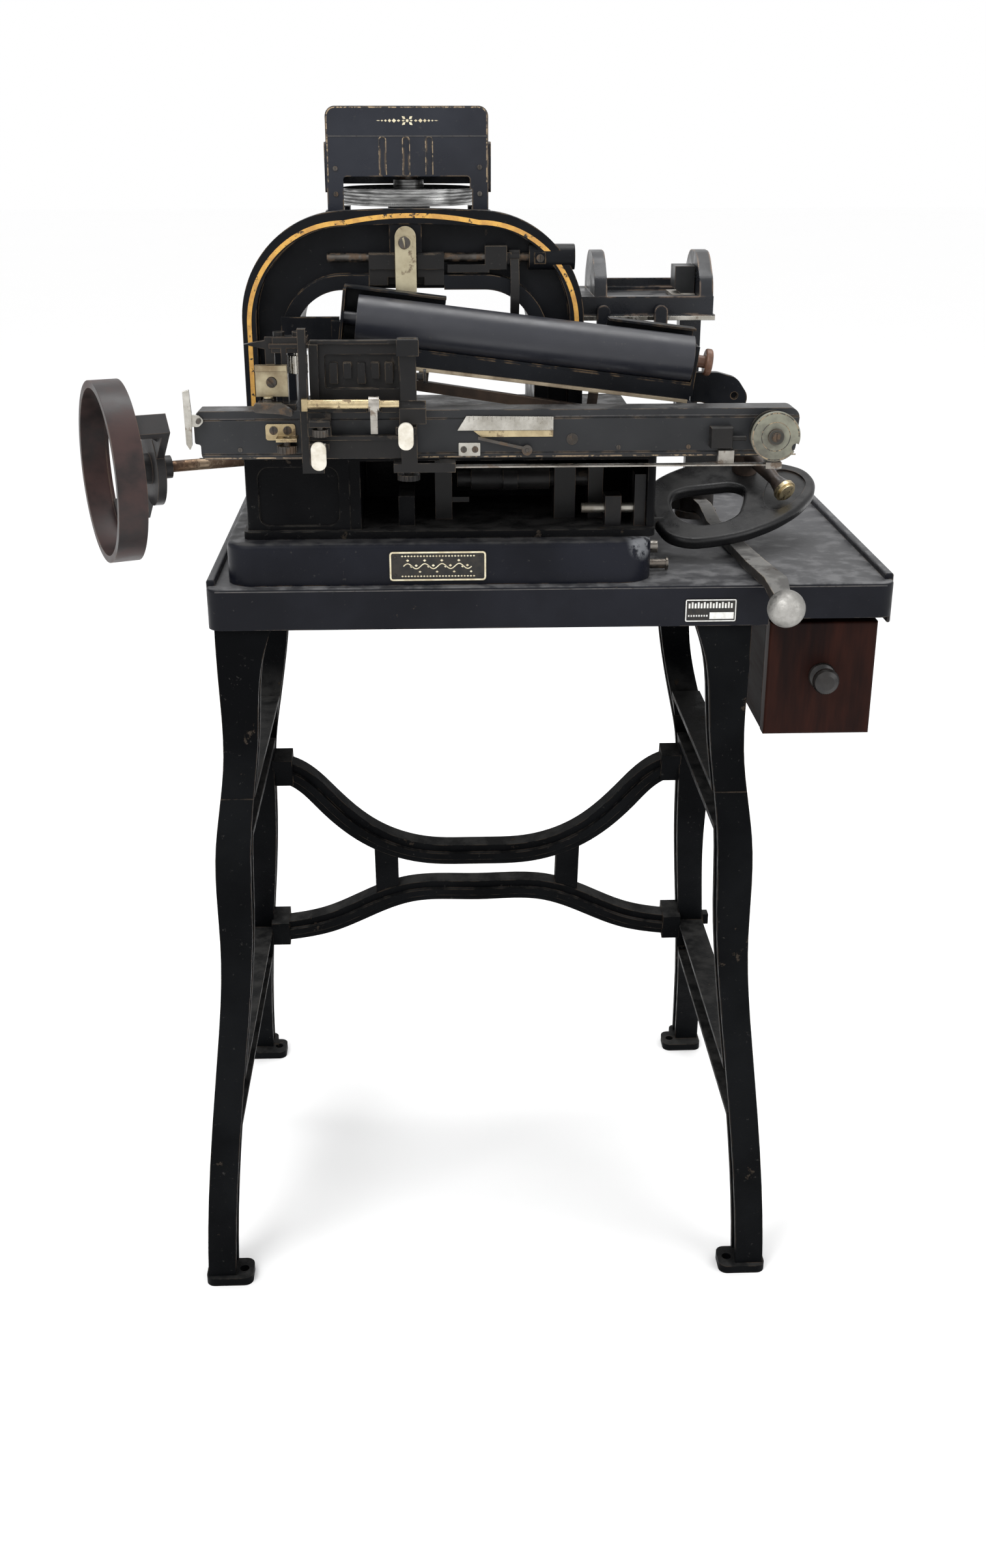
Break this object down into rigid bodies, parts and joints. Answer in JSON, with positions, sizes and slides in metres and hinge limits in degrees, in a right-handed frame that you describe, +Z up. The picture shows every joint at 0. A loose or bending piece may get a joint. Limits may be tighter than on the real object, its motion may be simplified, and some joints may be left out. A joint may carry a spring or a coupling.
{
  "type": "tabletop printing press",
  "caption": "Hand-worked plate-embossing press with a sliding carriage, type wheel, feed tube and handwheel, on a cast-iron stand with a drawer.",
  "frame": {"origin": "on the floor, midway between the four foot bolt holes of the stand", "axes": "+X to the operator's right, -Y towards the operator, +Z up"},
  "size_m": [0.7622, 0.53, 1.157],
  "materials": {
    "black_enamel": "worn gloss with orange-gold lines",
    "frame_enamel": "worn satin",
    "steel": "worn",
    "dark_steel": "oily",
    "nickel": "dull nickel plate",
    "brass": "tarnished",
    "mahogany": "dark varnish",
    "black_wood": "black polish",
    "ivory": "aged white",
    "oxblood": "worn satin",
    "ball_metal": "cast, worn",
    "tube_grey": "semi-matt",
    "brown_knob": "satin",
    "label": "enamelled plate"
  },
  "bodies": {
    "press_frame": {"table_top": "black_enamel", "left_side_frame": "frame_enamel", "right_side_frame": "frame_enamel", "stretcher": "frame_enamel", "frame_bolts": "dark_steel", "drawer_case": "mahogany", "machine_base": "black_enamel", "nameplates": "label", "base_pins": "steel", "body_casting": "black_enamel", "arch_frame": "black_enamel", "top_cover": "black_enamel", "guide_block": "steel", "shaft_bearings": "dark_steel", "pivot_pins": "dark_steel", "dial_plate": "black_enamel", "rail": "black_enamel", "rail_brackets": "dark_steel", "scale_plates": "nickel", "brass_plates": "brass", "slotted_screws": "nickel", "tension_tape": "steel", "latch_block": "steel", "side_bracket": "brass", "tube_trough": "black_enamel", "trough_lip": "brass", "tube_brackets": "black_enamel", "hopper_frame": "black_enamel"},
    "drawer": {"drawer_box": "mahogany", "drawer_front": "mahogany", "drawer_knob": "black_wood"},
    "lever": {"lever_arm": "steel", "lever_ball": "ball_metal"},
    "ram": {"ram_link": "brass", "ram_punch": "dark_steel"},
    "rocker": {"rock_shaft": "steel", "crank_arm": "steel"},
    "cam_shaft": {"main_shaft": "steel"},
    "hand_wheel": {"handwheel": "oxblood", "handwheel_shaft": "steel"},
    "selector": {"selector_arm": "black_enamel", "selector_ferrule": "brass"},
    "type_disc": {"type_wheel": "steel"},
    "drum": {"spring_drum": "dark_steel"},
    "carriage": {"carriage_frame": "dark_steel", "plate_window": "dark_steel", "brass_rod": "brass"},
    "key_left": {"left_key": "ivory"},
    "key_right": {"right_key": "ivory"},
    "pin_finger": {"pin_lever": "steel"},
    "stop_screw": {"stop_knob": "steel"},
    "clamp_screw": {"clamp_knob": "dark_steel"},
    "rail_screw": {"rail_knob": "dark_steel"},
    "bracket_screw": {"knurled_knob": "steel"},
    "bracket_lever": {"side_lever": "nickel"},
    "tube": {"feed_tube": "tube_grey", "tube_knob": "brown_knob"},
    "needle": {"end_latch": "steel"},
    "pawl": {"scale_pawl": "steel"},
    "pusher": {"hopper_pusher": "steel"}
  },
  "joints": [
    {"name": "drawer_slide", "type": "slide", "parent": "press_frame", "child": "drawer", "axis": [0, -1, 0], "range_m": [0, 0.25]},
    {"name": "lever_swing", "type": "hinge", "parent": "press_frame", "child": "lever", "pos_m": [0.236, 0.08, 0.766], "axis": [0, 0, 1], "range_deg": [0, 16]},
    {"name": "ram_slide", "type": "slide", "parent": "press_frame", "child": "ram", "axis": [0, 0, -1], "range_m": [0, 0.008]},
    {"name": "rocker_turn", "type": "hinge", "parent": "press_frame", "child": "rocker", "pos_m": [0, -0.091, 1.0295], "axis": [1, 0, 0], "range_deg": [0, 4.01]},
    {"name": "cam_turn", "type": "hinge", "parent": "press_frame", "child": "cam_shaft", "pos_m": [0, -0.112, 0.832], "axis": [1, 0, 0], "range_deg": [0, 24.1]},
    {"name": "handwheel_turn", "type": "hinge", "parent": "press_frame", "child": "hand_wheel", "pos_m": [-0.217, -0.098, 0.848], "axis": [-0.9272, -0.3746, 0], "continuous": true},
    {"name": "selector_swing", "type": "hinge", "parent": "press_frame", "child": "selector", "pos_m": [0.27, -0.00708, 0.81583], "axis": [0, -0.342, 0.9397], "range_deg": [-34, 30]},
    {"name": "type_turn", "type": "hinge", "parent": "press_frame", "child": "type_disc", "pos_m": [-0.065, 0.01, 1.078], "axis": [0, 0, 1], "range_deg": [-137, 121]},
    {"name": "carriage_slide", "type": "slide", "parent": "press_frame", "child": "carriage", "axis": [1, 0, 0], "range_m": [0, 0.088]},
    {"name": "drum_turn", "type": "hinge", "parent": "press_frame", "child": "drum", "pos_m": [0.253, -0.22, 0.8905], "axis": [0, 1, 0], "range_deg": [-274, 0]},
    {"name": "left_key_press", "type": "hinge", "parent": "carriage", "child": "key_left", "pos_m": [-0.1435, -0.23, 0.8845], "axis": [1, 0, 0], "range_deg": [0, 12], "stiffness_Nm_per_rad": 0.02, "springref_deg": -20.05},
    {"name": "right_key_press", "type": "hinge", "parent": "carriage", "child": "key_right", "pos_m": [-0.0685, -0.23, 0.8985], "axis": [1, 0, 0], "range_deg": [0, 12], "stiffness_Nm_per_rad": 0.02, "springref_deg": -20.05},
    {"name": "pin_lever_swing", "type": "hinge", "parent": "carriage", "child": "pin_finger", "pos_m": [-0.0955, -0.23, 0.921], "axis": [1, 0, 0], "range_deg": [-40, 0]},
    {"name": "stop_knob_turn", "type": "hinge", "parent": "carriage", "child": "stop_screw", "pos_m": [-0.142, -0.2338, 0.9], "axis": [0, 0, 1], "continuous": true},
    {"name": "clamp_knob_turn", "type": "hinge", "parent": "carriage", "child": "clamp_screw", "pos_m": [-0.067, -0.216, 0.856], "axis": [0, 0, 1], "continuous": true},
    {"name": "rail_knob_turn", "type": "hinge", "parent": "press_frame", "child": "rail_screw", "pos_m": [-0.172, -0.218, 0.881], "axis": [0, 0, 1], "continuous": true},
    {"name": "knurled_knob_turn", "type": "hinge", "parent": "press_frame", "child": "bracket_screw", "pos_m": [-0.162, -0.184, 0.95], "axis": [0, 0, 1], "continuous": true},
    {"name": "side_lever_swing", "type": "hinge", "parent": "press_frame", "child": "bracket_lever", "pos_m": [-0.188, -0.2005, 0.919], "axis": [0, 0, 1], "range_deg": [-12, 0]},
    {"name": "tube_turn", "type": "hinge", "parent": "press_frame", "child": "tube", "pos_m": [-0.112, -0.135, 0.9805], "axis": [0.9924, 0, -0.1232], "continuous": true},
    {"name": "end_latch_swing", "type": "hinge", "parent": "press_frame", "child": "needle", "pos_m": [-0.248, -0.212, 0.9045], "axis": [0, 1, 0], "range_deg": [-20, 20]},
    {"name": "scale_pawl_swing", "type": "hinge", "parent": "press_frame", "child": "pawl", "pos_m": [0.037, -0.213, 0.8775], "axis": [0, 1, 0], "range_deg": [-8, 10]},
    {"name": "hopper_push", "type": "slide", "parent": "press_frame", "child": "pusher", "axis": [-1, 0, 0], "range_m": [0, 0.06]}
  ],
  "couplings": [
    {"joint": "ram_slide", "follows": "lever_swing", "m_per_rad": 0.028619},
    {"joint": "rocker_turn", "follows": "lever_swing", "ratio": 0.25},
    {"joint": "cam_turn", "follows": "lever_swing", "ratio": 1.5},
    {"joint": "type_turn", "follows": "selector_swing", "ratio": 4},
    {"joint": "drum_turn", "follows": "carriage_slide", "rad_per_m": -54}
  ]
}
